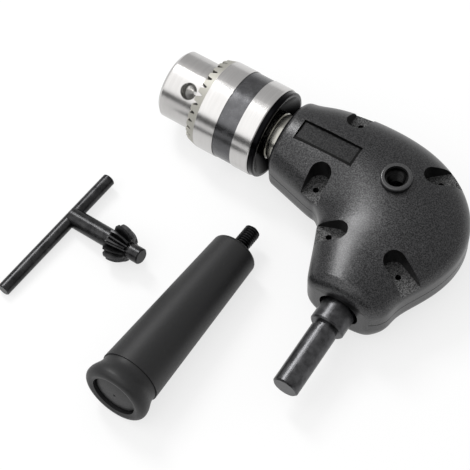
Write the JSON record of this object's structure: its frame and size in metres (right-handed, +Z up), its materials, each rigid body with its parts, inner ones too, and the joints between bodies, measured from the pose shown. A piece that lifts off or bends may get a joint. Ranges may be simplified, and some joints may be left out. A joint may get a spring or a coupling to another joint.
{
  "type": "right-angle drill attachment",
  "caption": "Right-angle drive head with a keyed three-jaw chuck and a round shank, with its loose screw-in side handle and T-bar chuck key lying beside it",
  "frame": {"origin": "middle of the set's bounding box at the surface everything lies on", "axes": "+Z up, square to the surface; -X along the chuck's axis, out of the jaws; the drive shank points to -Y, 3.6 degrees down"},
  "size_m": [0.132, 0.1358, 0.0356],
  "materials": {
    "housing_plastic": "moulded black plastic with a fine grain, satin",
    "grip_plastic": "smooth black plastic, satin",
    "chuck_steel": "bright turned steel",
    "spindle_steel": "bright turned steel",
    "band_black": "satin black finish, left bare",
    "shank_steel": "dark oiled steel",
    "key_steel": "black oxide, bright on the worn edges",
    "dark_steel": "dark oiled steel",
    "screw_steel": "black zinc plate",
    "washer_steel": "ground steel",
    "gear_steel": "hardened steel, greased",
    "pin_steel": "ground steel",
    "jaw_steel": "hardened ground steel",
    "bronze": "sintered bronze, oiled"
  },
  "bodies": {
    "housing": {"upper_shell": "housing_plastic", "lower_shell": "housing_plastic", "housing_screws": "screw_steel", "handle_insert": "dark_steel", "output_front_bush": "bronze", "output_rear_bush": "bronze", "input_front_bush": "bronze", "input_rear_bush": "bronze", "output_thrust_washer": "washer_steel", "input_thrust_washer": "washer_steel"},
    "output": {"output_spindle": "spindle_steel", "output_gear": "gear_steel", "output_gear_pin": "pin_steel", "chuck_body": "chuck_steel"},
    "sleeve": {"chuck_sleeve": "chuck_steel", "chuck_band": "band_black", "chuck_nut": "gear_steel"},
    "jaw_1": {"jaw_1": "jaw_steel"},
    "jaw_2": {"jaw_2": "jaw_steel"},
    "jaw_3": {"jaw_3": "jaw_steel"},
    "input": {"input_shaft": "shank_steel", "input_gear": "gear_steel", "input_gear_pin": "pin_steel"},
    "handle": {"handle_grip": "grip_plastic", "handle_bolt": "dark_steel", "handle_end_cap": "grip_plastic"},
    "key": {"key_body": "key_steel", "key_bar": "key_steel"}
  },
  "joints": [
    {"name": "output_spin", "type": "hinge", "parent": "housing", "child": "output", "pos_m": [0.04025, 0.04734, 0.017], "axis": [-1, 0, 0], "continuous": true},
    {"name": "input_spin", "type": "hinge", "parent": "housing", "child": "input", "pos_m": [0.04025, 0.04734, 0.017], "axis": [0, -0.998, -0.063], "continuous": true},
    {"name": "sleeve_turn", "type": "hinge", "parent": "output", "child": "sleeve", "pos_m": [-0.01625, 0.04734, 0.017], "axis": [1, 0, 0], "range_deg": [0, 4216.5]},
    {"name": "jaw_1_slide", "type": "slide", "parent": "output", "child": "jaw_1", "axis": [-0.9703, 0.241, 0.0216], "range_m": [0, 0.01757]},
    {"name": "jaw_2_slide", "type": "slide", "parent": "output", "child": "jaw_2", "axis": [-0.9703, -0.1392, 0.1979], "range_m": [0, 0.01757]},
    {"name": "jaw_3_slide", "type": "slide", "parent": "output", "child": "jaw_3", "axis": [-0.9703, -0.1018, -0.2195], "range_m": [0, 0.01757]},
    {"name": "handle_lift", "type": "slide", "parent": "housing", "child": "handle", "axis": [0, 0, 1], "range_m": [0, 0.06]},
    {"name": "key_lift", "type": "slide", "parent": "housing", "child": "key", "axis": [0, 0, 1], "range_m": [0, 0.06]}
  ],
  "couplings": [
    {"joint": "input_spin", "follows": "output_spin", "ratio": -1},
    {"joint": "sleeve_turn", "follows": "jaw_1_slide", "rad_per_m": 4188.8},
    {"joint": "jaw_2_slide", "follows": "jaw_1_slide", "ratio": 1},
    {"joint": "jaw_3_slide", "follows": "jaw_1_slide", "ratio": 1}
  ]
}
